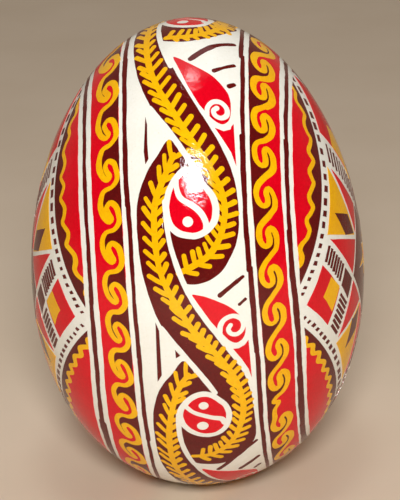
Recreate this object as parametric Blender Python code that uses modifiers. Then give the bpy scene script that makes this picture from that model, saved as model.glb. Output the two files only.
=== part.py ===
"""A blown goose egg made into a pysanka: shell, its two linings and the wax plug.

Metres, +Z up. The egg stands on its blunt end: its long axis is Z, the origin is
the lowest point, where the wax plug closes the blow hole, and the front of the
painted band faces -Y.
"""
import math

import bmesh
import bpy

# --- driving dimensions -----------------------------------------------------
MM = 0.001
EGG_LENGTH = 86.0 * MM
LENGTH_TO_WIDTH = 1.452      # half length over the profile's nominal radius
TAPER = 0.0877               # how much narrower the top is than the blunt end
FULLNESS = 0.0157            # how much fuller both ends are than an ellipse's

SHELL_WALL = 0.55 * MM
LINING = 0.10 * MM           # thickness of each shell membrane
LINING_GAP = 0.05 * MM       # clearance between nested skins with matching facets

BLOW_HOLE_RADIUS = 1.8 * MM
PLUG_CLEARANCE = 0.3 * MM
PLUG_HEAD_RADIUS = 3.4 * MM
PLUG_HEAD_HEIGHT = 1.3 * MM

AIR_CELL_RADIUS = 14.0 * MM  # where the inner membrane leaves the outer one
AIR_CELL_DEPTH = 5.5 * MM    # from the blunt end up to the air cell's floor
TEAR_RADIUS = 3.0 * MM       # hole that blowing tears in the air cell's floor

RINGS = 20                   # profile steps from the pole to the hole
SIDES = 36                   # facets round the axis
HOLE_RINGS = 3               # finer steps next to the hole

HALF_LENGTH = EGG_LENGTH / 2
NOMINAL_RADIUS = HALF_LENGTH / LENGTH_TO_WIDTH


def remove_old_objects():
    for obj in list(bpy.data.objects):
        bpy.data.objects.remove(obj, do_unlink=True)


def make_collection(name):
    collection = bpy.data.collections.new(name)
    bpy.context.scene.collection.children.link(collection)
    return collection


# --- egg profile --------------------------------------------------------------
def egg_radius(t):
    """Radius at t, which runs from -1 at the blunt end to 1 at the top."""
    ellipse = math.sqrt(max(0.0, 1.0 - t * t))
    return NOMINAL_RADIUS * ellipse * (1.0 - TAPER * t + FULLNESS * t * t)


def egg_point(angle):
    """(radius, height) of the outer skin; angle 0 is the top, pi the blunt end."""
    t = math.cos(angle)
    return egg_radius(t), HALF_LENGTH * (1.0 + t)


def inset_point(angle, depth):
    """The outer skin's point moved inwards along its normal."""
    step = 1e-4
    ahead = egg_point(min(math.pi, angle + step))
    behind = egg_point(max(0.0, angle - step))
    run = ahead[0] - behind[0]
    rise = ahead[1] - behind[1]
    length = math.hypot(run, rise)
    radius, height = egg_point(angle)
    if angle <= 0.0:
        return 0.0, height - depth
    return radius + depth * rise / length, height - depth * run / length


def angle_at_radius(radius):
    """The angle, near the blunt end, where the outer skin has this radius."""
    low, high = math.pi * 0.6, math.pi
    for _ in range(50):
        middle = (low + high) / 2
        if egg_point(middle)[0] > radius:
            low = middle
        else:
            high = middle
    return (low + high) / 2


def skin_angles():
    """Angles from the top down to the hole's edge, closer together at the hole."""
    rim = angle_at_radius(BLOW_HOLE_RADIUS)
    near = angle_at_radius(3 * BLOW_HOLE_RADIUS)
    coarse = [near * i / RINGS for i in range(RINGS)]
    fine = [near + (rim - near) * i / HOLE_RINGS for i in range(HOLE_RINGS + 1)]
    return coarse + fine


def shell_profile(outer_depth, thickness):
    """Outer skin from the top to the hole, through the hole, back up inside."""
    angles = skin_angles()
    outside = [inset_point(a, outer_depth) for a in angles]
    inside = [inset_point(a, outer_depth + thickness) for a in reversed(angles)]
    return outside + inside


# --- mesh helpers -------------------------------------------------------------
def turned(name, profile, collection, material, origin_height=0.0):
    """A solid turned round Z from a profile that runs down its outer side."""
    mesh = bpy.data.meshes.new(name)
    bm = bmesh.new()
    corners = [bm.verts.new((r, 0.0, z - origin_height)) for r, z in profile]
    for first, second in zip(corners, corners[1:]):
        bm.edges.new((first, second))
    bm.to_mesh(mesh)
    bm.free()
    obj = bpy.data.objects.new(name, mesh)
    obj.location.z = origin_height
    collection.objects.link(obj)
    screw = obj.modifiers.new("turn", "SCREW")
    screw.axis = "Z"
    screw.angle = math.tau
    screw.steps = SIDES
    screw.render_steps = SIDES
    screw.use_merge_vertices = True
    screw.merge_threshold = 1e-6
    screw.use_smooth_shade = True
    mesh.materials.append(material)
    return obj


def principled(name, colour, roughness, coat=0.0):
    material = bpy.data.materials.new(name)
    material.use_nodes = True
    shader = material.node_tree.nodes["Principled BSDF"]
    shader.inputs["Base Color"].default_value = (*colour, 1.0)
    shader.inputs["Roughness"].default_value = roughness
    shader.inputs["Metallic"].default_value = 0.0
    shader.inputs["Coat Weight"].default_value = coat
    return material


# --- sub-parts ----------------------------------------------------------------
def make_eggshell(collection):
    """The calcite shell, drilled once at the blunt end."""
    material = principled("varnished_shell", (0.62, 0.03, 0.03), 0.2, coat=1.0)
    return turned("eggshell", shell_profile(0.0, SHELL_WALL), collection, material)


def make_outer_membrane(collection):
    """The skin that lines the shell everywhere."""
    material = principled("outer_membrane_skin", (0.86, 0.82, 0.74), 0.6)
    profile = shell_profile(SHELL_WALL + LINING_GAP, LINING)
    return turned("outer_membrane", profile, collection, material)


def make_inner_membrane(collection):
    """The skin that lines the outer one, but spans the air cell as its floor."""
    material = principled("inner_membrane_skin", (0.90, 0.86, 0.78), 0.6)
    depth = SHELL_WALL + LINING + 2 * LINING_GAP
    leave = angle_at_radius(AIR_CELL_RADIUS)
    lining = [a for a in skin_angles() if a < leave]
    outside = [inset_point(a, depth) for a in lining]
    inside = [inset_point(a, depth + LINING) for a in lining]
    floor = air_cell_floor(outside[-1])
    raised_floor = [(r, z + LINING) for r, z in floor]
    profile = outside + floor + raised_floor[::-1] + inside[::-1]
    return turned("inner_membrane", profile, collection, material)


def air_cell_floor(edge):
    """Points of the sagging membrane from its edge in to the tear in its middle."""
    edge_radius, edge_height = edge
    steps = 6
    points = []
    for i in range(1, steps + 1):
        radius = edge_radius + (TEAR_RADIUS - edge_radius) * i / steps
        share = 1.0 - (radius / edge_radius) ** 2
        points.append((radius, edge_height + (AIR_CELL_DEPTH - edge_height) * share))
    return points


def make_hole_plug(collection):
    """Beeswax pressed into the hole: a neck, and a head spread over the lining."""
    material = principled("beeswax", (0.78, 0.55, 0.22), 0.45)
    neck = BLOW_HOLE_RADIUS - PLUG_CLEARANCE
    lining_top = inset_point(angle_at_radius(PLUG_HEAD_RADIUS), SHELL_WALL
                             + LINING + LINING_GAP)[1]
    head_base = lining_top + PLUG_CLEARANCE
    rim_angle = angle_at_radius(neck)
    dome_steps = 5
    dome = []
    for i in range(dome_steps + 1):
        turn = math.pi / 2 * i / dome_steps
        radius = PLUG_HEAD_RADIUS * math.sin(turn)
        dome.append((radius, head_base + PLUG_HEAD_HEIGHT * math.cos(turn)))
    face_steps = 3
    face = [egg_point(rim_angle + (math.pi - rim_angle) * i / face_steps)
            for i in range(face_steps + 1)]
    face[-1] = (0.0, face[-1][1])
    dome[0] = (0.0, dome[0][1])
    profile = dome + [(neck, head_base)] + face
    return turned("hole_plug", profile, collection, material)


def build():
    remove_old_objects()
    egg = make_collection("pysanka_goose_egg")
    make_eggshell(egg)
    make_outer_membrane(egg)
    make_inner_membrane(egg)
    make_hole_plug(egg)


build()
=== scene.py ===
"""Looks of the pysanka: a blown goose egg, dyed through wax resist and varnished.

The white shell is one closed piece, and each dye bath is a thin closed film on it:
yellow, red and brown. The pattern is drawn in millimetres on three flat charts, a
band that runs round the egg over both ends and a disc on either side of it, and
each chart is cut into triangles along its outlines and laid on the egg.
"""

import math
import random

import bpy
import numpy as np
from mathutils import Matrix, Vector, kdtree
from mathutils.geometry import delaunay_2d_cdt


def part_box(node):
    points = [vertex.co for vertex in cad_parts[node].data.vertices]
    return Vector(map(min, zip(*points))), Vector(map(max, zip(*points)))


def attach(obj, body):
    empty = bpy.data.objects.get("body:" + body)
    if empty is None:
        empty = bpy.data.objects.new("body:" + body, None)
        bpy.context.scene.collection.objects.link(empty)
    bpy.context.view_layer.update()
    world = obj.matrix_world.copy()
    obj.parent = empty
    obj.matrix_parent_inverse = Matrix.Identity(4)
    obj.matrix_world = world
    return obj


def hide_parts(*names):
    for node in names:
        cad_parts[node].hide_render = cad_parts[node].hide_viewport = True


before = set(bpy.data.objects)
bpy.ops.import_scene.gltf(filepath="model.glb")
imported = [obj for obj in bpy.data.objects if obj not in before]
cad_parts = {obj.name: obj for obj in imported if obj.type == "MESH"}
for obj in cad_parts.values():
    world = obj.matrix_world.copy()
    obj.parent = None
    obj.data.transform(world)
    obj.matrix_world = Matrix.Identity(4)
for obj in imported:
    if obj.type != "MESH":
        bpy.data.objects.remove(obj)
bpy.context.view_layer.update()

MM = 0.001

# --- the egg's shape, in millimetres from its centre ---
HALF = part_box("eggshell")[1][2] / MM / 2
RADIUS = HALF / 1.452  # nominal radius, before taper and fullness
TAPER = 0.0877  # the top is narrower than the blunt end
FULLNESS = 0.0157  # both ends are fuller than an ellipse's
SHELL_WALL = 0.55
BLOW_HOLE_RADIUS = 1.8

FILM_TOP = 0.0  # depths below the CAD shell's skin
GROUND_TOP = 0.05
FILM_BOTTOM = 0.09

# --- the pattern's layout, in millimetres ---
BAND_TILT = math.radians(-2.47)  # the band leans over, seen from its front
LEFT_EDGE = -17.5  # outer edges of the band's outermost lines
RIGHT_EDGE = 18.5
LINE = 0.85  # a kistka line's width
STEP = 0.3  # spacing of points along drawn curves
LONG_STEP = 0.7  # the same on nearly straight lines
GRID = 1.3  # spacing of points inside plain areas
SIDE_GRID = 0.95  # closer, as a side chart meets the skin aslant

CLEAR_OF_LINES = 0.3 * GRID  # grid points nearer than this are left out
MERGE = 1e-5  # outline points closer than this are one

WHITE, YELLOW, RED, BROWN = range(4)

hand = random.Random(31)  # the unsteadiness of the drawing hand


# --- egg surface ---
def turn_y(angle):
    c, s = math.cos(angle), math.sin(angle)
    return np.array([[c, 0.0, s], [0.0, 1.0, 0.0], [-s, 0.0, c]])


TILT = turn_y(BAND_TILT)


def egg_radius(height):
    t = np.clip(height / HALF, -1.0, 1.0)
    return RADIUS * np.sqrt(1.0 - t * t) * (1.0 - TAPER * t + FULLNESS * t * t)


def egg_normals(points):
    """Outward unit normals of the egg at points near its skin."""
    t = points[:, 2] / HALF
    shape = 1.0 - TAPER * t + FULLNESS * t * t
    slope = 2.0 * FULLNESS * t - TAPER
    squared_radius_slope = RADIUS**2 * 2.0 * shape * ((1.0 - t * t) * slope - t * shape)
    normal = np.stack([2.0 * points[:, 0], 2.0 * points[:, 1],
                       -squared_radius_slope / HALF], axis=-1)
    return normal / np.linalg.norm(normal, axis=1)[:, None]


def to_egg(pattern_points):
    return pattern_points @ TILT.T


def to_pattern(egg_points):
    return egg_points @ TILT


def reach_skin(start, direction):
    """Where each ray, given in the pattern's axes, leaves the egg."""
    low = np.zeros(len(start))
    high = np.full(len(start), 2.0 * HALF)
    for _ in range(44):
        middle = (low + high) / 2
        point = to_egg(start + direction * middle[:, None])
        inside = np.hypot(point[:, 0], point[:, 1]) < egg_radius(point[:, 2])
        inside &= np.abs(point[:, 2]) < HALF
        low = np.where(inside, middle, low)
        high = np.where(inside, high, middle)
    return start + direction * low[:, None]


def around(angle):
    """Directions square to the band's axle; 0 is the front and pi/2 the top."""
    return np.stack([0.0 * angle, -np.cos(angle), np.sin(angle)], axis=-1)


MERIDIAN_ANGLES = np.linspace(-math.pi, math.pi, 3601)
meridian = reach_skin(np.zeros((len(MERIDIAN_ANGLES), 3)), around(MERIDIAN_ANGLES))
MERIDIAN_ARC = np.concatenate(
    [[0.0], np.cumsum(np.linalg.norm(np.diff(meridian, axis=0), axis=1))])
LOOP = MERIDIAN_ARC[-1]
MERIDIAN_ARC -= np.interp(0.0, MERIDIAN_ANGLES, MERIDIAN_ARC)
BOTTOM_ARC = np.interp(-math.pi / 2, MERIDIAN_ANGLES, MERIDIAN_ARC)


def band_to_pattern(chart):
    """Chart points (x across, s along the band) in the pattern's axes."""
    start = MERIDIAN_ARC[0]
    wrapped = (chart[:, 1] - start) % LOOP + start
    angle = np.interp(wrapped, MERIDIAN_ARC, MERIDIAN_ANGLES)
    across = np.stack([chart[:, 0], 0.0 * angle, 0.0 * angle], axis=-1)
    return reach_skin(across, around(angle))


def side_to_pattern(side):
    """The same for a side's chart (u towards the front, v up)."""
    def convert(chart):
        start = np.stack([0.0 * chart[:, 0], -chart[:, 0], chart[:, 1]], axis=-1)
        return reach_skin(start, np.tile([float(side), 0.0, 0.0], (len(chart), 1)))
    return convert


# --- drawing ---
def curve(points, step=STEP, closed=False):
    """A smooth path through points (centripetal Catmull-Rom)."""
    p = np.asarray(points, dtype=float)
    if closed:
        p = np.vstack([p[-1:], p, p[:2]])
    else:
        p = np.vstack([2 * p[:1] - p[1:2], p, 2 * p[-1:] - p[-2:-1]])
    stretches = []
    for a, b, c, d in zip(p, p[1:], p[2:], p[3:]):
        ab, bc, cd = (math.sqrt(max(1e-9, np.linalg.norm(second - first)))
                      for first, second in ((a, b), (b, c), (c, d)))
        leave = bc * ((b - a) / ab - (c - a) / (ab + bc) + (c - b) / bc)
        arrive = bc * ((c - b) / bc - (d - b) / (bc + cd) + (d - c) / cd)
        count = max(1, round(np.linalg.norm(c - b) / step))
        f = (np.arange(count) / count)[:, None]
        stretches.append((2 * f**3 - 3 * f**2 + 1) * b + (f**3 - 2 * f**2 + f) * leave
                         + (3 * f**2 - 2 * f**3) * c + (f**3 - f**2) * arrive)
    if not closed:
        stretches.append(p[-2:-1])
    return np.vstack(stretches)


def straight(points, step=LONG_STEP, closed=False):
    """A path with sharp corners."""
    corners = [np.asarray(p, dtype=float) for p in points]
    if closed:
        corners.append(corners[0])
    stretches = []
    for a, b in zip(corners, corners[1:]):
        count = max(1, round(np.linalg.norm(b - a) / step))
        f = (np.arange(count) / count)[:, None]
        stretches.append(a + (b - a) * f)
    if not closed:
        stretches.append(corners[-1][None])
    return np.vstack(stretches)


def upright(x, heights):
    """A path that keeps to x."""
    return np.stack([np.full(len(heights), x), heights], axis=-1)


def lengths_along(path):
    return np.concatenate([[0.0], np.cumsum(np.linalg.norm(np.diff(path, axis=0), axis=1))])


def sideways(path):
    """Unit vectors to the left of a path's direction."""
    ahead = np.gradient(path, axis=0)
    ahead /= np.maximum(1e-9, np.linalg.norm(ahead, axis=1))[:, None]
    return np.stack([-ahead[:, 1], ahead[:, 0]], axis=-1)


def tremble(along, amount):
    """A slow hand's error, a few waves of unrelated lengths."""
    error = 0.0 * along
    for wavelength, share in ((23.0, 0.9), (9.1, 0.6), (3.7, 0.35), (1.9, 0.2)):
        error += share * np.sin(along * math.tau / wavelength + hand.uniform(0, math.tau))
    return error * amount


def shaky(path, amount=0.07):
    return path + sideways(path) * tremble(lengths_along(path), amount)[:, None]


def moved(points, dx, dy):
    return [(x + dx, y + dy) for x, y in points]


def inset(polygon, margin):
    """A convex polygon with every side moved in by margin."""
    p = np.asarray(polygon, dtype=float)
    sides = list(zip(p, np.roll(p, -1, axis=0)))
    area = sum(a[0] * b[1] - b[0] * a[1] for a, b in sides)
    edges = []
    for a, b in sides:
        along = (b - a) / np.linalg.norm(b - a)
        edges.append((a + math.copysign(margin, area) * np.array([-along[1], along[0]]), along))
    corners = []
    for (a, u), (b, w) in zip(edges[-1:] + edges[:-1], edges):
        f = ((b - a)[0] * w[1] - (b - a)[1] * w[0]) / (u[0] * w[1] - u[1] * w[0])
        corners.append(a + f * u)
    return corners


class Chart:
    """One flat drawing. Marks are painted in order, so a later one covers earlier.

    What strays over the chart's rim, where it has one, is cut off and left white.
    """

    def __init__(self, to_pattern_axes, loop=None, warp=None, rim=None):
        self.to_pattern_axes = to_pattern_axes
        self.loop = loop
        self.warp = warp or (lambda path: path)
        self.rim = rim
        self.marks = []
        self.cuts = []

    def area(self, colour, outline, cut=True):
        outline = self.warp(np.asarray(outline))
        self.marks.append((colour, outline, None))
        if cut:
            self.cuts.append(np.vstack([outline, outline[:1]]))

    def cut(self, path):
        self.cuts.append(self.warp(np.asarray(path)))

    def stroke(self, colour, path, width=LINE, unsteady=0.07):
        path = self.warp(np.asarray(path))
        along = lengths_along(path)
        half = width / 2 * (1.0 + tremble(along, unsteady))
        self.marks.append((colour, path, half))
        self.cuts.append(stroke_outline(path, half))

    def dot(self, colour, centre, radius):
        turns = np.linspace(0.0, math.tau, 20, endpoint=False)
        ring = np.stack([np.cos(turns), np.sin(turns)], axis=-1)
        self.area(colour, np.asarray(centre) + radius * ring)

    def colours_at(self, points):
        colours = np.full(len(points), WHITE)
        turns = (0.0,) if self.loop is None else (-self.loop, 0.0, self.loop)
        for colour, path, half in self.marks:
            for turn in turns:
                shifted = points + np.array([0.0, turn])
                if half is None:
                    hit = inside_outline(path, shifted)
                else:
                    hit = near_path(path, half, shifted)
                colours[hit] = colour
        return colours

    def flatten(self, points):
        """The plane that is cut into triangles: a looped chart becomes a ring."""
        if self.loop is None:
            return points
        angle = points[:, 1] * math.tau / self.loop
        radius = self.loop / math.tau + points[:, 0]
        return np.stack([radius * np.cos(angle), radius * np.sin(angle)], axis=-1)

    def unflatten(self, points):
        if self.loop is None:
            return points
        angle = np.arctan2(points[:, 1], points[:, 0])
        radius = np.hypot(points[:, 0], points[:, 1])
        return np.stack([radius - self.loop / math.tau, angle * self.loop / math.tau],
                        axis=-1)

    def triangles(self, grid):
        """Chart points, triangles as indices, and each triangle's colour."""
        points = []
        edges = []
        for path in self.cuts:
            flat = self.flatten(path)
            first = len(points)
            points.extend(flat.tolist())
            edges.extend((first + i, first + i + 1) for i in range(len(flat) - 1))
        tree = kdtree.KDTree(len(points))
        for index, (x, y) in enumerate(points):
            tree.insert((x, y, 0.0), index)
        tree.balance()
        for x, y in self.flatten(grid).tolist():
            if tree.find((x, y, 0.0))[2] > CLEAR_OF_LINES:
                points.append([x, y])
        result = delaunay_2d_cdt([Vector(p) for p in points], edges, [], 0, MERGE)
        flat = np.array([tuple(v) for v in result[0]])
        corners = np.array(result[2])
        centres = self.unflatten(flat[corners].mean(axis=1))
        colours = self.colours_at(centres)
        if self.rim is not None:
            colours = np.where(inside_outline(self.rim, centres), colours, WHITE)
        return self.unflatten(flat), corners, colours


def stroke_outline(path, half):
    """The closed outline of a round-ended stroke."""
    left = sideways(path)
    half = half[:, None]
    cap_turns = np.linspace(0.0, math.pi, 7)[1:-1, None]
    ahead = np.stack([left[:, 1], -left[:, 0]], axis=-1)
    end_cap = path[-1] + half[-1] * (left[-1] * np.cos(cap_turns) + ahead[-1] * np.sin(cap_turns))
    start_cap = path[0] - half[0] * (left[0] * np.cos(cap_turns) + ahead[0] * np.sin(cap_turns))
    outline = [path + left * half, end_cap, (path - left * half)[::-1], start_cap]
    outline.append(outline[0][:1])
    return np.vstack(outline)


def in_box_of(path, points, margin=0.0):
    """Indices of the points in the box round a path."""
    low, high = path.min(axis=0) - margin, path.max(axis=0) + margin
    return np.flatnonzero(((points > low) & (points < high)).all(axis=1))


def inside_outline(outline, points):
    """Which points lie in a closed outline (even-odd rule)."""
    hit = np.zeros(len(points), dtype=bool)
    near = in_box_of(outline, points)
    if len(near) == 0:
        return hit
    x, y = points[near, 0], points[near, 1]
    odd = np.zeros(len(near), dtype=bool)
    for (ax, ay), (bx, by) in zip(outline, np.roll(outline, -1, axis=0)):
        if ay == by:
            continue
        crosses = (ay > y) != (by > y)
        odd ^= crosses & (x < ax + (y - ay) * (bx - ax) / (by - ay))
    hit[near[odd]] = True
    return hit


def near_path(path, half, points):
    """Which points lie within half a stroke's width of its path."""
    hit = np.zeros(len(points), dtype=bool)
    reach = half.max()
    stretch = 12
    for first in range(0, len(path) - 1, stretch):
        part = path[first:first + stretch + 1]
        widths = half[first:first + stretch + 1]
        near = in_box_of(part, points, reach)
        if len(near) == 0:
            continue
        p = points[near]
        for a, b, start, end in zip(part, part[1:], widths, widths[1:]):
            run = b - a
            f = np.clip((p - a) @ run / max(1e-12, run @ run), 0.0, 1.0)
            gap = np.linalg.norm(p - a - f[:, None] * run, axis=1)
            hit[near[gap < start + (end - start) * f]] = True
    return hit


# --- the band's pattern ---
SEAM = LOOP / 2  # where the band's long lines begin and end


def bump(value, centre, spread):
    return np.exp(-((value - centre) / spread) ** 2)


def band_warp(path):
    """The drawn grid drifts: its left lines near the bottom, its right ones twice."""
    x, s = path[:, 0], (path[:, 1] + LOOP / 2) % LOOP - LOOP / 2
    left = -0.75 * bump(s, -27.0, 17.0)
    right = 0.45 * bump(s, 52.0, 14.0) + 0.45 * bump(s, -9.0, 15.0)
    shift = np.where(x < 0, left * -x / 17.0, right * x / 17.0)
    return np.stack([x + shift, path[:, 1]], axis=-1)


LONG_LINES = ((-16.35, 0.95), (-8.7, 0.72), (10.6, 0.75), (17.4, 0.8))  # x and width


def draw_long_line(chart, x, width):
    """A line once round the egg, drawn in strokes that don't quite meet in line."""
    station = SEAM
    while station < SEAM + LOOP:
        end = min(station + hand.uniform(14.0, 34.0), SEAM + LOOP + 0.5)
        offset = hand.uniform(-0.16, 0.16)
        stations = np.linspace(station - 0.2, end + 0.2, max(3, round((end - station) / LONG_STEP)))
        path = shaky(upright(x + offset, stations), 0.045)
        chart.stroke(BROWN, path, width * hand.uniform(0.72, 1.22), unsteady=0.1)
        station = end


LEFT_HOOKS = (52, 44, 35.8, 27.75, 19.95, 12.5, 5, -2.5, -10, -17.5, -25, -32.3)
RIGHT_HOOKS = (49, 42.5, 35.65, 29, 21.5, 14, 6.5, -1, -8.5, -15.5, -20.6, -26.8, -33.3)
SLIP = -20.6  # here the hand made a bump instead of a hook
LEFT_HOOK = ((-1.4, 2.4), (-1.38, 0.7), (-0.85, -0.95), (0, -1.8), (0.38, -1.35), (-0.1, -0.2),
    (-0.42, 0.95), (0.2, 1.75), (1.1, 1.15), (1.65, -0.4), (1.68, -2.1), (0.75, -3.3), (-0.75, -3.75))
RIGHT_HOOK = ((-1.3, 2), (-1.65, 0.4), (-1.3, -1.2), (-0.6, -1.8), (0, -1.35), (0.08, -0.25), (-0.1, 0.9),
    (0.38, 1.75), (1, 0.95), (1.28, -0.6), (1.05, -2.1), (0.25, -3.3))
BUMP = ((-0.75, 1.3), (-1.15, 0.5), (-0.45, -0.1), (-0.55, -0.8), (-1.05, -1.5))


def all_hooks(front, unseen_count):
    """Hook centres once round the egg, going down, with one repeated at each end."""
    gap = (front[-1] - front[0] + LOOP) / (unseen_count + 1)
    unseen = [front[-1] - gap * (i + 1) for i in range(unseen_count)]
    ring = list(front) + unseen
    return [ring[-1] + LOOP] + ring + [ring[0] - LOOP, ring[1] - LOOP]


def scroll_path(middle, hooks, hook_shape):
    points = []
    for centre in hooks:
        points += moved(BUMP if centre == SLIP else hook_shape, middle, centre)
    return shaky(curve(points), 0.05)


def border_edge(x):
    stations = SEAM + np.append(np.arange(0.0, LOOP, LONG_STEP), LOOP + 0.2)
    return shaky(upright(x, stations), 0.05)


def draw_border(chart, low, high, brown_edge, middle, hooks, hook_shape):
    """A red strip, brown on one side of a running scroll drawn in yellow."""
    chart.area(RED, np.vstack([border_edge(low), border_edge(high)[::-1]]))
    scroll = scroll_path(middle, hooks, hook_shape)
    rim = np.arange(scroll[-1, 1], scroll[0, 1], LONG_STEP)
    rim = shaky(upright(brown_edge, rim), 0.05)
    chart.area(BROWN, np.vstack([scroll, rim]), cut=False)
    chart.cut(rim)
    chart.stroke(YELLOW, scroll, 0.93, unsteady=0.09)


# The serpentine repeats six times. Each unit hangs from the unit above, and its
# heights are measured from the lowest edge of its own ball's white ring.
UNIT_STARTS = (-65.3, -23.6, 14.0, 53.7, 91.0, 128.0)
UNIT_GAP = 37.6  # the spacing that the unit's shapes assume
STRETCH_FROM, STRETCH_TO = 34.0, 48.0  # the part that gives when the spacing differs

# The strand's outline, from where it comes out beside the ball above: its right
# side down to the hook, the hook (which differs by unit), then its left side up.
STRAND_RIGHT = ((-3, 41.5), (-2.6, 37.4), (-1.7, 33.2), (0.1, 28.2), (2.3, 24), (4.7, 19.7), (6.9, 15.7),
    (8.4, 12), (9.25, 8), (9.45, 4.4))
STRAND_LEFT = ((-3.1, -3), (-3, 3), (-2.3, 9), (0.8, 14.4), (-1.2, 17.7), (-3.3, 20.8), (-4.9, 24.2),
    (-6.1, 28), (-7, 32.5), (-7.4, 36.5), (-7.4, 41), (-6.9, 45.2), (-5.3, 49), (-3.3, 51.8),
    (-1.3, 54.2), (0.6, 51), (0.6, 44))
# Leaflets along a stem, by share of its length: the share, then spacing, length
# from the stem's middle and angle away from the stem's upward direction.
INNER_LEAFLETS = ((0, 2.2, 2.8, 30), (0.25, 2.15, 2.8, 40), (0.4, 2.1, 3, 29), (0.62, 2.1, 2.9, 28),
    (0.72, 1.9, 2.5, 30), (0.86, 1.5, 2.1, 58), (1, 1.4, 2.2, 82))
# Two hands of the same unit take turns: a lean one with a teardrop ball, and a
# full one with a round ball, whose hook is shallow near the egg's top. All round
# shapes are smooth curves through their points.
LEAN = {
    "hook": ((9.2, 1), (8.6, -1.4), (7.3, -4), (5.9, -5.8), (4, -7), (1.6, -7.6), (0, -7.3),
        (-1.7, -6.3)),
    "stem": ((-0.7, 51.5), (-1.8, 50), (-3.1, 47.4), (-4.1, 44.5), (-4.8, 41.5), (-5.1, 38.5),
        (-5.1, 35.5), (-4.75, 32.2), (-4, 28.8), (-2.95, 25.9), (-1.8, 23.4), (-0.45, 21), (1.1, 18.2),
        (2.65, 15.7), (4.1, 13.4), (5.4, 11.2), (6.55, 8.7), (7.15, 6.1), (7.1, 3.5), (6.5, 1),
        (5.4, -1.3), (4, -3), (1.9, -4.3), (0, -5.2), (-0.9, -5.6)),
    "outer": ((0, 2, 1.9, 42), (0.3, 2, 1.9, 45), (0.42, 2.1, 2.7, 58), (0.6, 2, 2.5, 66),
        (0.7, 1.8, 1.8, 70), (0.82, 1.8, 2, 60), (0.9, 2.1, 2.1, 45), (1, 2.2, 2.3, 42)),
    "hook_line": ((-2.5, 6.4), (-2.4, 2.8), (-2.1, -0.4), (-1.4, -3.5), (-0.55, -6.4), (0.4, -9)),
    "petal": ((-0.4, 31.7), (1.6, 30.6), (3.4, 29.5), (5.5, 28.3), (7.1, 26.9), (8.4, 25.2), (8.85, 23.5),
        (8.8, 21.7), (8.4, 20.1), (7.4, 19.3), (6.2, 19.8), (5.3, 20.6), (4.5, 21.5), (3.8, 22.4),
        (2.8, 24.2), (1.6, 26.6), (0.4, 29.4)),
    "spiral": ((5, 20.5), (5.1, 21.95), (6, 23.05), (7.25, 23.15), (8.15, 22.25), (8.15, 21),
        (7.25, 20.35), (6.3, 20.7), (6.05, 21.5), (6.6, 22.05)),
    "hem": ((4.8, 20.6), (5.2, 19.75), (6.1, 19), (7.4, 18.7), (8.6, 19.4), (9.3, 20.9)),
    "wedge": ((6.2, 18.5), (7.6, 18.1), (8.7, 18.6), (9.2, 20.5), (9.4, 12.3), (8.65, 14.6), (7.3, 16.8)),
    "dashes": (((2.4, 31.1), (6, 34.5), (9.4, 36.4)), ((6.2, 29.1), (9.4, 31.3)),
        ((8.6, 26.6), (9.4, 27.2))),
    "shards": (((-5.2, 21.2), (-4.95, 19.8), (-5, 16.5), (-4.9, 13.8), (-5.45, 13),
        (-5.65, 15.2), (-5.35, 19)),),
    "ring": ((1.75, 0.47), (3.9, 1.1), (5.4, 2.8), (5.78, 5), (5.1, 7.4), (3.4, 9.4), (1.5, 11.4),
        (-0.3, 10.2), (-1.7, 8), (-2.33, 5.3), (-1.9, 2.6), (-0.4, 1)),
    "divide": ((-0.5, 10), (-0.45, 8.4), (0.1, 6.8), (1.4, 5.85), (2.6, 5), (3.5, 3.9), (4.05, 2.4),
        (4, 1.5)),
    "dots": ((1.1, 2.85, 0.87), (2, 8.3, 0.8)),
}
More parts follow.
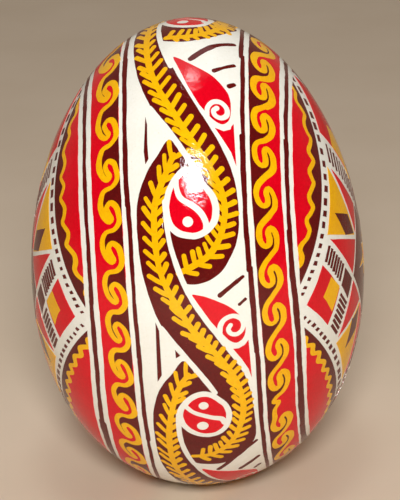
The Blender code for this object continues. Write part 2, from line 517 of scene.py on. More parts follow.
FULL = {
    "hook": ((9.6, 0.4), (9.45, -2.6), (8.6, -4.8), (7, -6.7), (5.1, -8), (3, -8.4), (0.7, -8),
        (-1.5, -7.1)),
    "stem": ((-0.7, 51.5), (-1.9, 49), (-3.2, 46.3), (-4, 44.2), (-4.4, 42), (-4.5, 38.5), (-4.4, 35.5),
        (-4, 32.5), (-3.2, 29.9), (-2.2, 27.6), (-1, 25.5), (-0.2, 23.6), (0.8, 21.9), (2.5, 19.7),
        (4, 17.5), (5.3, 15.3), (6.4, 13), (7.2, 10.5), (7.65, 8), (7.8, 5.7), (7.6, 3.6), (7.05, 1.4),
        (6.2, -0.8), (4.9, -2.7), (3.1, -4.2), (1.1, -5), (-1.5, -5.1)),
    "outer": ((0, 2, 1.9, 42), (0.3, 2, 1.9, 45), (0.42, 1.7, 1.65, 62), (0.6, 1.5, 1.45, 70),
        (0.7, 1.4, 1.35, 74), (0.82, 1.5, 1.7, 62), (0.9, 1.6, 2.1, 50), (1, 1.6, 2, 45)),
    "hook_line": ((-3, 5.6), (-3.2, 1.8), (-3.05, -1.2), (-2.5, -4.4), (-1.75, -7.2), (-0.8, -9.8)),
    "petal": ((1, 28.3), (2.4, 28), (3.9, 27.4), (6.2, 26.1), (7.6, 24.9), (8.7, 23.2), (9.1, 21.6),
        (8.9, 20.1), (8.3, 19.2), (7.5, 18.85), (6.4, 19.5), (5.7, 20.5), (5, 21.4), (4.2, 22.6),
        (3.1, 24.4), (1.8, 26.7)),
    "spiral": ((5, 21.2), (5.2, 22.5), (5.95, 23.5), (7.35, 23.9), (8.5, 23.2), (8.85, 22.1), (8.5, 21),
        (7.65, 20.45), (6.7, 20.8), (6.4, 21.6), (6.8, 22.3)),
    "hem": ((5, 21.3), (5.5, 19.8), (6.4, 18.7), (7.5, 18.3), (8.6, 18.6), (9.6, 19.6)),
    "wedge": ((6.9, 17.8), (7.8, 17.7), (8.8, 18.1), (9.45, 18.9), (9.5, 11.2), (9.1, 13.2), (8.1, 15.6)),
    "dashes": (((5.5, 27.8), (9.4, 30.7)), ((8.5, 25.8), (9.5, 26.6))),
    "shards": (((-5.4, 23.6), (-4.9, 22.1), (-5, 17.5), (-5.1, 13.75), (-5.9, 12.35), (-5.7, 16.8)),
        ((-2.5, 18.9), (-1.7, 17.6), (-2.5, 17.1))),
    "ring": ((1.4, 0.5), (3.2, 0.75), (4.5, 1.75), (5.2, 3.4), (5.4, 5), (4.9, 6.9), (3.9, 8.3),
        (2.6, 9.5), (1.2, 9.9), (-0.3, 9.4), (-1.5, 8.3), (-2.4, 6.9), (-2.7, 5.2), (-2.4, 3.6),
        (-1.5, 2.1), (-0.2, 1)),
    "divide": ((-1.7, 7.5), (-0.5, 6.15), (1.15, 5.25), (2.7, 4.5), (4.1, 3.9), (4.5, 2.9)),
    "dots": ((1.3, 7.4, 0.83), (0.8, 2.9, 0.98)),
}
SHALLOW = dict(
    FULL,
    hook=((9.7, 3.4), (8.9, 1.6), (7.4, -0.9), (5.4, -2.9), (3.3, -4), (1.1, -4.4),
          (-0.8, -4), (-2.3, -3.4)),
    stem=FULL["stem"][:22] + ((7.4, 2.8), (6.4, 0.2), (4.8, -1.7), (2.9, -2.75),
                              (0.8, -3.1), (-1.7, -2.8)),
    outer=FULL["outer"][:4] + ((0.72, 1.4, 1.6, 74), (0.84, 1.5, 1.35, 62), (1, 1.5, 1.2, 50)),
)
STYLES = (LEAN, FULL, LEAN, SHALLOW, LEAN, FULL)
STRAND_LINE = ((-4.5, 22.6), (-3.1, 20.4), (-1.2, 17.7), (0.8, 14.6), (2.4, 11.8), (3.4, 9.8))


def stretched(points, start, gap):
    """A unit's points on the chart, fitted to the spacing to the unit above it."""
    p = np.asarray(points, dtype=float).copy()
    give = np.clip((p[:, 1] - STRETCH_FROM) / (STRETCH_TO - STRETCH_FROM), 0.0, 1.0)
    p[:, 1] += start + give * (gap - UNIT_GAP)
    return p


def draw_leaflets(chart, stem, side, rules, width):
    along = lengths_along(stem)
    left = sideways(stem)
    shares, spacings, reaches, angles = np.array(rules).T
    station = 0.6
    while station < along[-1] - 0.2:
        share = station / along[-1]
        index = np.searchsorted(along, station)
        root = stem[index]
        back = np.array([-left[index, 1], left[index, 0]])
        turn = math.radians(np.interp(share, shares, angles) + hand.uniform(-5, 5))
        reach = np.interp(share, shares, reaches) * hand.uniform(0.9, 1.08)
        tip = root + reach * (math.cos(turn) * back + side * math.sin(turn) * left[index])
        bend = (root + tip) / 2 + side * 0.1 * left[index]
        chart.stroke(YELLOW, curve((root, bend, tip), 0.5), width * hand.uniform(0.9, 1.1))
        station += np.interp(share, shares, spacings) * hand.uniform(0.92, 1.08)


def draw_twig(chart, stem, outer_leaflets):
    chart.stroke(YELLOW, stem, 1.0)
    draw_leaflets(chart, stem, 1, outer_leaflets, 0.86)
    draw_leaflets(chart, stem, -1, INNER_LEAFLETS, 0.78)


def draw_ball(chart, style, start):
    ring = shaky(curve(moved(style["ring"], 0.0, start), closed=True), 0.04)
    chart.area(RED, ring, cut=False)
    chart.stroke(WHITE, np.vstack([ring, ring[:2]]), 1.05)
    chart.stroke(WHITE, curve(moved(style["divide"], 0.0, start)), 0.95)
    for x, t, radius in style["dots"]:
        chart.dot(WHITE, (x, start + t), radius)


def draw_petal(chart, style, *place):
    """The red petal beside a strand, its white spiral, and the dashes round it."""
    chart.area(RED, stretched(shaky(curve(style["petal"], closed=True), 0.04), *place))
    chart.stroke(WHITE, stretched(curve(style["spiral"], 0.2), *place), 0.82)
    chart.area(RED, stretched(straight(style["wedge"], 0.5, closed=True), *place))
    chart.stroke(WHITE, stretched(curve(style["hem"]), *place), 0.75)
    for dash in style["dashes"]:
        chart.stroke(BROWN, stretched(curve(dash), *place), 0.78, unsteady=0.2)
    for shard in style["shards"]:
        chart.area(BROWN, stretched(straight(shard, 0.5, closed=True), *place))


def draw_serpentine(chart):
    gaps = [after - before for before, after in
            zip(UNIT_STARTS, UNIT_STARTS[1:] + (UNIT_STARTS[0] + LOOP,))]
    units = list(zip(STYLES, UNIT_STARTS, gaps))
    for style, start, gap in units:
        draw_petal(chart, style, start, gap)
    for style, start, gap in units:
        strand = STRAND_RIGHT + style["hook"] + STRAND_LEFT
        chart.area(BROWN, shaky(stretched(curve(strand, closed=True), start, gap), 0.04))
    for style, start, gap in units:
        draw_twig(chart, stretched(curve(style["stem"]), start, gap), style["outer"])
    for style, start, gap in units:
        chart.stroke(WHITE, stretched(curve(STRAND_LINE), start, gap), 0.95)
        chart.stroke(WHITE, stretched(curve(style["hook_line"]), start, gap), 0.9)
        draw_ball(chart, style, start)


BARE_RING = 0.35  # white left showing round the blow hole


def draw_blow_hole_rim(chart):
    """The bare ring where the hole was drilled through the finished pattern."""
    pole = to_pattern(np.array([[0.0, 0.0, -HALF]]))[0]
    chart.dot(WHITE, (pole[0], BOTTOM_ARC), BLOW_HOLE_RADIUS + BARE_RING)


def draw_band():
    chart = Chart(band_to_pattern, loop=LOOP, warp=band_warp)
    draw_border(chart, low=-15.0, high=-9.9, brown_edge=-9.9, middle=-12.1,
                hooks=all_hooks(LEFT_HOOKS, 18), hook_shape=LEFT_HOOK)
    draw_border(chart, low=11.7, high=16.5, brown_edge=11.7, middle=14.05,
                hooks=all_hooks(RIGHT_HOOKS, 19), hook_shape=RIGHT_HOOK)
    for x, width in LONG_LINES:
        draw_long_line(chart, x, width)
    draw_serpentine(chart)
    draw_blow_hole_rim(chart)
    return chart


# --- the sides' pattern ---
# Each side is the same in its four quarters, mirrored about this height.
SIDE_MIDDLE = -1.2
DIAMOND_CORNER = 22.9  # u where the dashed strips' inner edges meet
DIAMOND_SLOPE = 1.518
DIAMOND_TOP = DIAMOND_CORNER * DIAMOND_SLOPE
STRIP_LENGTH = math.hypot(DIAMOND_CORNER, DIAMOND_TOP)
STRIP_WIDTH = 2.0
GAP_LINE = 0.37  # half of the white line between two cells

# Corners of the cells: A and B lie on the dashed strip, C, D and E round the star.
A = (16.7, 9.9)
B = (9.6, 21.0)
C = (3.3, 10.8)
D = (10.9, 0.0)
E = (7.1, 5.8)
CROSSING = (0.0, 5.5)  # where the top ladders' lower lines cross
FRONT_RHOMBUS = ((22.4, 0.0), (18.6, 5.8), (15.5, 0.0), (18.7, -5.6))
FRONT_PATCH = ((15.55, 0.3), (17.3, 2.9), (19.4, 0.1), (18.8, -0.9), (17.8, -3.3))
FRONT_SQUARE = ((15.0, 0.2), (13.3, 2.7), (11.4, -0.1), (13.3, -3.0))
FRONT_LADDER = ((15.5, 0.0), (18.6, 6.2)), ((13.05, 3.7), (16.4, 9.5))
SHARD = ((12.8, 12.7), (11.3, 8.0), (7.8, 6.8), (8.7, 10.8))
TOP_SQUARE = ((0.0, 12.4), (2.0, 9.5), (0.0, 6.4), (-2.0, 9.5))
TOP_RHOMBUS = ((0.0, 13.8), (6.6, 25.1), (0.0, 33.6), (-6.6, 25.1))
TOP_PATCH = ((0.0, 14.0), (4.5, 21.7), (1.2, 24.7), (-3.6, 20.2))
TOP_LADDER = ((2.5, 9.5), (9.6, 21.0)), ((0.0, 13.3), (7.0, 25.0))


def mirrored(points, across, up):
    """Points of one quarter, given from the side's middle, on a side chart."""
    return [(across * u, up * w + SIDE_MIDDLE) for u, w in points]


QUARTERS = ((1, 1), (1, -1), (-1, 1), (-1, -1))


def strip_point(share, depth):
    """share runs from the front corner, 0, to the top one, 1; depth is outwards."""
    outward = np.array([DIAMOND_SLOPE, 1.0]) / math.hypot(DIAMOND_SLOPE, 1.0)
    return np.array([DIAMOND_CORNER * (1 - share), DIAMOND_TOP * share]) + depth * outward


# The brown lobe beside a strip: its width at shares of the strip's length, and the
# pitch and swing of the waves on its edge.
UPPER_LOBE = ((0.0, 0.15, 0.5, 0.9), (1.5, 1.75, 2.15, 1.45), 4.2, 0.42)
LOWER_LOBE = ((0.0, 0.3, 0.6, 1.0), (1.2, 1.5, 1.7, 1.4), 2.7, 0.34)


def draw_lobe(chart, across, up):
    """Brown beside the strip, a yellow wave, and the red ground beyond it."""
    shares = np.linspace(-0.12, 1.12, 220)
    places, widths, pitch, swing = UPPER_LOBE if up > 0 else LOWER_LOBE
    bow = np.interp(shares, places, widths)
    waves = STRIP_LENGTH / pitch
    wave = swing * np.sin(shares * math.tau * waves + tremble(shares * 40.0, 0.5))
    outer = [strip_point(s, STRIP_WIDTH + b + w) for s, b, w in zip(shares, bow, wave)]
    inner = [strip_point(s, STRIP_WIDTH) for s in shares]
    chart.area(BROWN, mirrored(outer + inner[::-1], across, up), cut=False)
    chart.cut(np.array(mirrored(inner, across, up)))
    chart.stroke(YELLOW, shaky(np.array(mirrored(outer, across, up)), 0.04), 0.75)


def draw_strip_dashes(chart, across, up):
    """Dashes that begin as small squares at the front corner and grow longer."""
    station = 0.6
    while station < STRIP_LENGTH:
        growth = min(1.0, station / 17.0)**1.5
        length = (0.45 + 0.8 * growth) * hand.uniform(0.85, 1.15)
        middle = STRIP_WIDTH / 2 + hand.uniform(-0.08, 0.08)
        dash = [strip_point(station / STRIP_LENGTH, middle),
                strip_point((station + length) / STRIP_LENGTH, middle)]
        chart.area(BROWN, slab(mirrored(dash, across, up), 0.55 + 0.25 * growth))
        station += (1.15 + 1.05 * growth) * hand.uniform(0.92, 1.08)


def slab(ends, width):
    """The outline of a straight stroke with square, slightly uneven ends."""
    a, b = (np.array(end, dtype=float) for end in ends)
    along = (b - a) / np.linalg.norm(b - a)
    left = np.array([-along[1], along[0]]) * width / 2
    corners = [a + left, a - left, b - left, b + left]
    return np.array([corner + (hand.uniform(-0.06, 0.06), hand.uniform(-0.06, 0.06))
                     for corner in corners])


def draw_ladder(chart, across, up, near, far, rungs):
    """Brown rungs on the white between two lines, which start at the crossing."""
    near, far = np.array(near), np.array(far)
    for i in range(rungs):
        share = 0.04 + 0.88 * (i + 0.5) / rungs
        a = near[0] + (near[1] - near[0]) * share
        b = far[0] + (far[1] - far[0]) * share
        ends = [a + (b - a) * 0.15, a + (b - a) * 0.85]
        chart.area(BROWN, slab(mirrored(ends, across, up), 0.56))


def cell(chart, colour, corners, across, up, margin=GAP_LINE):
    outline = straight(mirrored(inset(corners, margin), across, up), closed=True)
    chart.area(colour, shaky(outline, 0.035))


STARS = ((WHITE, 7.4, 4.8, 2.6), (YELLOW, 6.4, 4.0, 2.0))  # long and short rays, waist


def draw_star(chart):
    """An eight-pointed star in the middle of the side, on brown."""
    middle = np.array([0.0, SIDE_MIDDLE])
    corners = [D, E, C, CROSSING, (-C[0], C[1]), (-E[0], E[1])]
    corners += [(-u, -w) for u, w in corners]
    field = inset(corners, GAP_LINE)
    chart.area(BROWN, straight(np.array(field) + (0.0, SIDE_MIDDLE), closed=True))
    for colour, long_ray, short_ray, waist in STARS:
        rays = []
        for i in range(16):
            turn = math.tau * i / 16
            reach = waist if i % 2 else (long_ray if i % 8 == 0 else short_ray)
            rays.append(middle + reach * np.array([math.cos(turn), math.sin(turn)]))
        chart.area(colour, straight(rays, closed=True))
    for i in range(8):
        turn = math.tau * (i + 0.5) / 8
        edge = middle + 1.9 * np.array([math.cos(turn), math.sin(turn)])
        chart.stroke(WHITE, straight([middle, edge], 0.5), 0.4)
    chart.dot(WHITE, middle, 1.35)
    chart.dot(RED, middle, 0.95)


def draw_quarter(chart, across, up):
    """The lobe beside a strip, and the white that the strip's dashes lie on."""
    draw_lobe(chart, across, up)
    strip = [strip_point(-0.1, 0), strip_point(1.1, 0),
             strip_point(1.1, STRIP_WIDTH), strip_point(-0.1, STRIP_WIDTH)]
    chart.area(WHITE, straight(mirrored(strip, across, up), closed=True))


def draw_cells(chart, across, up):
    """A quarter of what lies inside the dashed strips."""
    draw_strip_dashes(chart, across, up)
    cell(chart, RED, (A, D, E), across, up)
    cell(chart, YELLOW, (A, B, E), across, up)
    cell(chart, BROWN, SHARD, across, up, margin=0.0)
    cell(chart, RED, (B, C, E), across, up)
    draw_ladder(chart, across, up, *FRONT_LADDER, rungs=7)
    draw_ladder(chart, across, up, *TOP_LADDER, rungs=10)


def draw_side(side):
    edge = RIGHT_EDGE if side > 0 else -LEFT_EDGE
    stations = np.arange(0.0, LOOP, LONG_STEP)
    rim = band_to_pattern(shaky(band_warp(upright(side * edge, stations)), 0.05))
    outline = np.stack([-rim[:, 1], rim[:, 2]], axis=-1)
    chart = Chart(side_to_pattern(side), rim=outline)
    chart.area(RED, outline)
    for across, up in QUARTERS:
        draw_quarter(chart, across, up)
    diamond = [(DIAMOND_CORNER, 0.0), (0.0, DIAMOND_TOP),
               (-DIAMOND_CORNER, 0.0), (0.0, -DIAMOND_TOP)]
    chart.area(WHITE, straight(mirrored(diamond, 1, 1), closed=True))
    for across, up in QUARTERS:
        draw_cells(chart, across, up)
    for across in (1, -1):
        cell(chart, RED, FRONT_RHOMBUS, across, 1, margin=0.1)
        cell(chart, YELLOW, FRONT_PATCH, across, 1, margin=0.0)
        cell(chart, BROWN, FRONT_SQUARE, across, 1, margin=0.0)
    for up in (1, -1):
        cell(chart, RED, TOP_RHOMBUS, 1, up, margin=0.1)
        cell(chart, YELLOW, TOP_PATCH, 1, up, margin=0.0)
        cell(chart, BROWN, TOP_SQUARE, 1, up, margin=0.0)
    draw_star(chart)
    return chart


# --- grids that keep plain areas curved ---
def band_grid():
    columns = np.arange(LEFT_EDGE, RIGHT_EDGE, GRID)
    rows = np.arange(0.0, LOOP, GRID)
    x, s = np.meshgrid(columns, rows)
    return np.stack([x.ravel(), s.ravel()], axis=-1)


def side_grid(outline):
    low, high = outline.min(axis=0), outline.max(axis=0)
    u, v = np.meshgrid(np.arange(low[0], high[0], SIDE_GRID),
                       np.arange(low[1], high[1], SIDE_GRID))
    points = np.stack([u.ravel(), v.ravel()], axis=-1)
    return points[inside_outline(outline, points)]


# --- the atlas: where each patch of skin lies in the baked maps ---
ATLAS = 150.0  # millimetres of egg along the map's side
ATLAS_GAP = 2.0
BAND_LIMIT = 18.0  # |x| beyond which skin belongs to a side
SIDE_RADIUS = 24.5  # room for half a side across the map
SIDE_OFFSETS = ((1, 38.0), (-1, 111.0))  # where each side's middle lies along the map
HIDDEN_SCALE = 0.1  # hidden undersides get a small copy


def band_coordinates(pattern_points):
    angle = np.arctan2(pattern_points[:, 2], -pattern_points[:, 1])
    return np.interp(angle, MERIDIAN_ANGLES, MERIDIAN_ARC)


def atlas_positions(pattern_points, centres):
    """Map positions of points, each in the patch where its face's centre lies."""
    quarter = LOOP / 4
    arc = band_coordinates(pattern_points)
    middle_arc = band_coordinates(centres)
    arc = middle_arc + (arc - middle_arc + LOOP / 2) % LOOP - LOOP / 2
    on_front = np.abs(middle_arc) < quarter
    back_arc = np.where(middle_arc < 0, arc + LOOP, arc) - LOOP / 2
    across = pattern_points[:, 0] - LEFT_EDGE
    band_width = RIGHT_EDGE - LEFT_EDGE + ATLAS_GAP
    u = np.where(on_front, arc, back_arc) + quarter + 2 * ATLAS_GAP
    v = across + ATLAS_GAP + np.where(on_front, 0.0, band_width)
    side_centre = 2 * band_width + ATLAS_GAP + SIDE_RADIUS
    for side, offset in SIDE_OFFSETS:
        there = centres[:, 0] * side > BAND_LIMIT
        u = np.where(there, pattern_points[:, 2] + offset, u)
        v = np.where(there, side_centre - pattern_points[:, 1], v)
    return np.stack([u, v], axis=-1) / ATLAS


# --- meshes ---
def add_object(name, data):
    obj = bpy.data.objects.new(name, data)
    bpy.context.scene.collection.objects.link(obj)
    return obj


def make_object(name, vertices, faces, loop_normals, loop_uvs, material):
    """A mesh from corner indices per face, with its own normals and map positions."""
    mesh = bpy.data.meshes.new(name)
    lifted = vertices + np.array([0.0, 0.0, HALF])
    mesh.from_pydata((lifted * MM).tolist(), [], faces)
    mesh.polygons.foreach_set("use_smooth", [True] * len(faces))
    layer = mesh.uv_layers.new(name="OFBake")
    layer.data.foreach_set("uv", loop_uvs.ravel())
    mesh.normals_split_custom_set(loop_normals.tolist())
    mesh.materials.append(material)
    mesh.update()
    return add_object(name, mesh)


def open_edges(corners):
    """Directed edges that only one triangle has."""
    directed = np.vstack([corners[:, [0, 1]], corners[:, [1, 2]], corners[:, [2, 0]]])
    known = set(map(tuple, directed.tolist()))
    return [(a, b) for a, b in directed.tolist() if (b, a) not in known]


def film_parts(chart, grid, colours):
    """Skin points and triangles of each dye colour on a chart."""
    points, corners, paint = chart.triangles(grid)
    skin = to_egg(chart.to_pattern_axes(points))
    normals = egg_normals(skin)
    first, second, third = (skin[corners[:, i]] for i in range(3))
    facing = np.cross(second - first, third - first)
    if np.median(np.einsum("ij,ij->i", facing, normals[corners[:, 0]])) < 0:
        corners = corners[:, ::-1]
    return {colour: (skin, corners[paint == colour]) for colour in colours}


def make_skin(name, parts, material, top, bottom):
    """A closed skin between two depths below the egg's surface, with walls."""
    vertices, faces, loop_normals, loop_uvs = [], [], [], []
    total = 0
    for skin, corners in parts:
        used, flat = np.unique(corners, return_inverse=True)
        corners = flat.reshape(corners.shape)
        skin = skin[used]
        normals = egg_normals(skin)
        count = len(skin)
        pattern = to_pattern(skin)
        vertices += [skin - normals * top, skin - normals * bottom]
        centres = np.repeat(pattern[corners].mean(axis=1), 3, axis=0)
        for hidden, layer in enumerate((corners, corners[:, ::-1])):
            faces += (layer + total + hidden * count).tolist()
            loop_normals.append((1 - 2 * hidden) * normals[layer.ravel()])
            uvs = atlas_positions(pattern[layer.ravel()], centres)
            loop_uvs.append(1.0 - HIDDEN_SCALE * uvs if hidden else uvs)
        walls = np.array(open_edges(corners))
        quads = np.stack([walls[:, 1], walls[:, 0], walls[:, 0] + count,
                          walls[:, 1] + count], axis=-1)
        faces += (quads + total).tolist()
        outward = np.cross(skin[walls[:, 1]] - skin[walls[:, 0]], normals[walls[:, 0]])
        outward /= np.maximum(1e-12, np.linalg.norm(outward, axis=1))[:, None]
        loop_normals.append(np.repeat(outward, 4, axis=0))
        wall_centres = np.repeat(pattern[walls].mean(axis=1), 4, axis=0)
        loop_uvs.append(atlas_positions(pattern[walls[:, [1, 0, 0, 1]].ravel()], wall_centres))
        total += 2 * count
    return make_object(name, np.vstack(vertices), faces, np.vstack(loop_normals),
                       np.vstack(loop_uvs), material)


def turned_points(middle, radii, heights, sides):
    """A middle point, then rings of points round Z."""
    turns = np.arange(sides) * math.tau / sides
    rings = np.stack([np.outer(radii, np.cos(turns)), np.outer(radii, np.sin(turns)),
                      np.repeat(heights[:, None], sides, axis=1)], axis=-1)
    return np.vstack([[middle], rings.reshape(-1, 3)])


def ring_triangles(rings, sides):
    """Triangles over a middle point and the rings of points round it."""
    here = np.arange(sides)
    ahead = (here + 1) % sides
    middle = np.stack([0 * here, 1 + here, 1 + ahead], axis=-1)
    starts = 1 + sides * np.arange(rings - 1)[:, None]
    a, b = (starts + here).ravel(), (starts + ahead).ravel()
    return np.vstack([middle, np.stack([a, a + sides, b + sides], axis=-1),
                      np.stack([a, b + sides, b], axis=-1)])


def shell_part():
    """Skin points and triangles of the whole egg, from its top to the blow hole."""
    sides, rings = 180, 129
    angles = np.linspace(0.0, math.pi, 4001)
    lower = angles > math.pi * 0.6
    radii = egg_radius(HALF * np.cos(angles))
    rim = np.interp(-BLOW_HOLE_RADIUS, -radii[lower], angles[lower])
    heights = HALF * np.cos(np.linspace(0.0, rim, rings + 1)[1:])
    points = turned_points((0.0, 0.0, HALF), egg_radius(heights), heights, sides)
    return points, ring_triangles(rings, sides)


# --- materials ---
class Nodes:
    """A small helper that adds and links the nodes of a material or a world."""

    def __init__(self, owner):
        self.owner = owner
        self.owner.use_nodes = True
        self.tree = self.owner.node_tree
        self.place = self.add("ShaderNodeTexCoord").outputs

    def add(self, kind, **values):
        node = self.tree.nodes.new(kind)
        for key, value in values.items():
            setattr(node, key, value)
        return node

    def link(self, source, target):
        self.tree.links.new(source, target)

    def feed(self, socket, value):
        """Link another node's output to a socket, or set a plain number or colour."""
        if isinstance(value, bpy.types.NodeSocket):
            self.link(value, socket)
        else:
            socket.default_value = (*value, 1.0) if isinstance(value, tuple) else value

    def texture(self, kind, size_mm, **values):
        node = self.add(kind)
        self.link(self.place["Object"], node.inputs["Vector"])
        for key, value in {"Scale": 1.0 / (size_mm * MM), **values}.items():
            node.inputs[key].default_value = value
        return node.outputs

    def noise(self, size_mm, detail=3.0, rough=0.5):
        return self.texture("ShaderNodeTexNoise", size_mm, Detail=detail, Roughness=rough)["Fac"]

    def pores(self, size_mm):
        return self.texture("ShaderNodeTexVoronoi", size_mm)["Distance"]

    def ramp(self, source, *stops):
        """A ramp with two stops, each a position and a colour or a plain grey."""
        node = self.add("ShaderNodeValToRGB")
        for element, (position, value) in zip(node.color_ramp.elements, stops):
            element.position = position
            colour = value if isinstance(value, tuple) else (value, value, value)
            element.color = (*colour, 1.0)
        self.link(source, node.inputs["Fac"])
        return node.outputs["Color"]

    def blend(self, kind, share, first, second):
        node = self.add("ShaderNodeMix", data_type="RGBA", blend_type=kind)
        for index, value in ((0, share), (6, first), (7, second)):
            self.feed(node.inputs[index], value)
        return node.outputs[2]

    def bump(self, height, distance_mm, after=None):
        node = self.add("ShaderNodeBump")
        node.inputs["Distance"].default_value = distance_mm * MM
        self.link(height, node.inputs["Height"])
        if after is not None:
            self.link(after, node.inputs["Normal"])
        return node.outputs["Normal"]

    def set(self, **values):
        """Feed the shader's sockets, named with _ for each space."""
        shader = self.tree.nodes["Principled BSDF"]
        for key, value in values.items():
            self.feed(shader.inputs[key.replace("_", " ")], value)


def varnished(name, deep, light, pore_colour, speckle):
    """Dyed eggshell under varnish: dye that takes unevenly, pores and a soft peel."""
    nodes = Nodes(bpy.data.materials.new(name))
    cloud = nodes.ramp(nodes.noise(7.0, 4.0, 0.6), (0.32, deep), (0.7, light))
    fine = nodes.ramp(nodes.noise(0.45, 2.0), (0.35, 0.0), (0.75, 1.0))
    colour = nodes.blend("MIX", 0.5, cloud, nodes.blend("MIX", fine, deep, light))
    pits = nodes.ramp(nodes.pores(0.62), (0.08, 1.0), (0.2, 0.0))
    patches = nodes.ramp(nodes.noise(1.7, 2.0), (0.45, 0.0), (0.62, speckle))
    marks = nodes.blend("MULTIPLY", 1.0, pits, patches)
    colour = nodes.blend("MIX", marks, colour, pore_colour)
    gloss = nodes.ramp(nodes.noise(3.0, 3.0), (0.3, 0.16), (0.75, 0.26))
    peel = nodes.bump(nodes.noise(2.6, 2.0), 0.05)
    grain = nodes.bump(nodes.noise(0.5, 2.0, 0.6), 0.034, peel)
    nodes.set(Base_Color=colour, Roughness=gloss, Normal=grain, Coat_Normal=grain)
    nodes.set(Coat_Weight=0.8, Coat_Roughness=0.05, Coat_IOR=1.5, Specular_IOR_Level=0.0)
    return nodes.owner


def membrane_material(name, pale, dark):
    """Dry shell membrane: a felt of fine fibres, slightly cloudy."""
    nodes = Nodes(bpy.data.materials.new(name))
    cloud = nodes.ramp(nodes.noise(4.0, 4.0, 0.6), (0.3, dark), (0.7, pale))
    fibres = nodes.ramp(nodes.noise(0.25, 5.0, 0.7), (0.3, 0.75), (0.7, 1.0))
    colour = nodes.blend("MULTIPLY", 1.0, cloud, fibres)
    rough = nodes.ramp(nodes.noise(0.8), (0.3, 0.5), (0.7, 0.7))
    felt = nodes.bump(nodes.noise(0.25, 5.0, 0.7), 0.03)
    nodes.set(Base_Color=colour, Roughness=rough, Normal=felt, Sheen_Weight=0.15)
    return nodes.owner


def wax_material():
    """Smoothed beeswax with thumbed dents and paler bloom."""
    nodes = Nodes(bpy.data.materials.new("beeswax"))
    colour = nodes.ramp(nodes.noise(1.2, 3.0), (0.3, (0.42, 0.19, 0.03)), (0.7, (0.62, 0.34, 0.08)))
    bloom = nodes.ramp(nodes.noise(0.5, 4.0, 0.7), (0.55, 0.0), (0.8, 0.5))
    colour = nodes.blend("MIX", bloom, colour, (0.75, 0.58, 0.34))
    rough = nodes.ramp(nodes.noise(0.7), (0.3, 0.32), (0.7, 0.5))
    dents = nodes.bump(nodes.noise(0.9, 3.0), 0.08)
    nodes.set(Base_Color=colour, Roughness=rough, Normal=dents)
    nodes.set(Subsurface_Weight=0.25, Subsurface_Scale=0.001)
    return nodes.owner


def floor_material():
    nodes = Nodes(bpy.data.materials.new("pale_floor"))
    tone = nodes.ramp(nodes.noise(40.0, 3.0), (0.3, (0.71, 0.58, 0.44)), (0.7, (0.75, 0.62, 0.48)))
    rough = nodes.ramp(nodes.noise(15.0), (0.3, 0.65), (0.7, 0.8))
    nodes.set(Base_Color=tone, Roughness=rough)
    return nodes.owner


# --- stage, lights and camera ---
CENTRE = Vector((0.0, 0.0, HALF * MM))
CAMERA_DISTANCE = 12 * RADIUS * MM
CAMERA_ELEVATION = math.radians(22.0)
CAMERA_AZIMUTH = math.radians(3.71)  # towards +X from the band's front
CAMERA_ROLL = math.radians(-2.06)
SENSOR_HEIGHT = 24.0
FOCAL_LENGTH = SENSOR_HEIGHT * 3.978
AIM_RIGHT = -0.00146  # where the egg's centre lies off the axis
AIM_UP = -0.00236


def direction(azimuth, elevation):
    """A unit vector; azimuth 0 is -Y and turns towards +X."""
    return Vector((math.sin(azimuth) * math.cos(elevation),
                   -math.cos(azimuth) * math.cos(elevation), math.sin(elevation)))


def make_camera():
    out = direction(CAMERA_AZIMUTH, CAMERA_ELEVATION)
    forward = -out
    level = forward.cross(Vector((0, 0, 1))).normalized()
    upright = level.cross(forward)
    right = math.cos(CAMERA_ROLL) * level + math.sin(CAMERA_ROLL) * upright
    up = -math.sin(CAMERA_ROLL) * level + math.cos(CAMERA_ROLL) * upright
    forward = (forward - AIM_RIGHT * right - AIM_UP * up).normalized()
    right = (right - right.dot(forward) * forward).normalized()
    up = right.cross(forward)
    camera = bpy.data.cameras.new("camera")
    camera.sensor_fit = "VERTICAL"
    camera.sensor_height = SENSOR_HEIGHT
    camera.lens = FOCAL_LENGTH
    camera.clip_start = 0.01
    obj = add_object("camera", camera)
    axes = Matrix((right, up, -forward)).transposed()
    obj.matrix_world = Matrix.Translation(CENTRE + out * CAMERA_DISTANCE) @ axes.to_4x4()
    bpy.context.scene.camera = obj


def make_lamp(name, azimuth, elevation, distance, size, power):
    lamp = bpy.data.lights.new(name, "AREA")
    lamp.shape = "DISK"
    lamp.size = size
    lamp.energy = power
    obj = add_object(name, lamp)
    out = direction(math.radians(azimuth), math.radians(elevation))
    obj.location = CENTRE + out * distance
    obj.rotation_euler = out.to_track_quat("Z", "Y").to_euler()


# The room, from dim in front of the egg to bright behind it.
ROOM = ((0.4, (0.045, 0.042, 0.04)), (0.95, (0.42, 0.35, 0.27)))


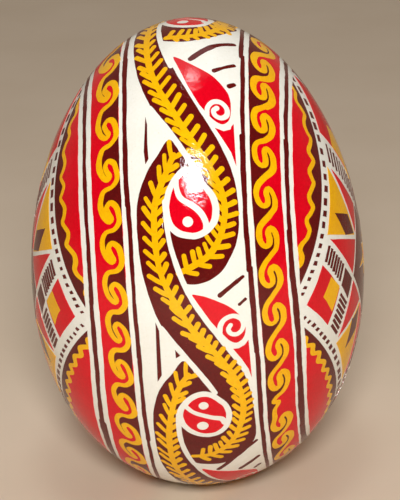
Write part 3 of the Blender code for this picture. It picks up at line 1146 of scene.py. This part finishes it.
def make_lights():
    """A flash beside the camera, a weak reflection, and a room brighter behind."""
    make_lamp("flash", azimuth=4.0, elevation=31.5, distance=0.5, size=0.12, power=2.15)
    make_lamp("flash_reflector", azimuth=2.6, elevation=79.6, distance=0.6, size=0.1, power=0.32)
    make_lamp("overhead_softbox", azimuth=180.0, elevation=80.0, distance=1.1, size=0.8, power=1.6)
    world = bpy.data.worlds.new("studio")
    bpy.context.scene.world = world
    nodes = Nodes(world)
    split = nodes.add("ShaderNodeSeparateXYZ")
    nodes.link(nodes.place["Generated"], split.inputs[0])
    depth = nodes.add("ShaderNodeMath", operation="MULTIPLY_ADD")
    nodes.link(split.outputs["Y"], depth.inputs[0])
    depth.inputs[1].default_value = 0.5
    depth.inputs[2].default_value = 0.5
    room = nodes.ramp(depth.outputs["Value"], *ROOM)
    nodes.link(room, nodes.tree.nodes["Background"].inputs["Color"])
    bpy.context.scene.view_settings.view_transform = "Standard"


def make_floor():
    """A wide flat disc at the height that the egg stands on."""
    sides = 96
    radii = np.array([0.1, 0.3, 0.8, 2.0, 4.0])
    points = turned_points((0.0, 0.0, 0.0), radii, 0.0 * radii, sides)
    mesh = bpy.data.meshes.new("floor")
    mesh.from_pydata(points.tolist(), [], ring_triangles(len(radii), sides).tolist())
    mesh.materials.append(floor_material())
    add_object("floor", mesh)


# --- build ---
DYES = {  # deep, light and pore colours; speckle
    YELLOW: ("dye_yellow", (0.92, 0.42, 0.001), (1.0, 0.56, 0.003), (0.60, 0.16, 0.01), 0.5),
    RED: ("dye_red", (0.66, 0.0, 0.008), (0.80, 0.001, 0.014), (0.30, 0.004, 0.006), 0.5),
    BROWN: ("dye_brown", (0.095, 0.004, 0.004), (0.145, 0.006, 0.005), (0.30, 0.05, 0.02), 0.35),
}


def make_films():
    charts = [(draw_band(), band_grid())]
    for side in (1, -1):
        chart = draw_side(side)
        charts.append((chart, side_grid(chart.rim)))
    parts = [film_parts(chart, grid, DYES) for chart, grid in charts]
    return [make_skin(look[0], [part[dye] for part in parts], varnished(*look),
                      FILM_TOP, FILM_BOTTOM) for dye, look in DYES.items()]


def repaint(node_name, material):
    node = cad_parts[node_name]
    node.data.materials.clear()
    node.data.materials.append(material)


make_camera()
make_lights()
make_floor()
white = varnished("shell_white", (0.88, 0.86, 0.76), (0.94, 0.92, 0.85), (0.62, 0.50, 0.34), 0.35)
shell = make_skin("shell_white", [shell_part()], white, GROUND_TOP, SHELL_WALL)
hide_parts("eggshell")
for piece in [shell] + make_films():
    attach(piece, "root")
for node_name, pale, dark in (("outer_membrane", (0.84, 0.79, 0.68), (0.72, 0.66, 0.55)),
                              ("inner_membrane", (0.90, 0.86, 0.77), (0.80, 0.74, 0.64))):
    repaint(node_name, membrane_material(node_name, pale, dark))
repaint("hole_plug", wax_material())
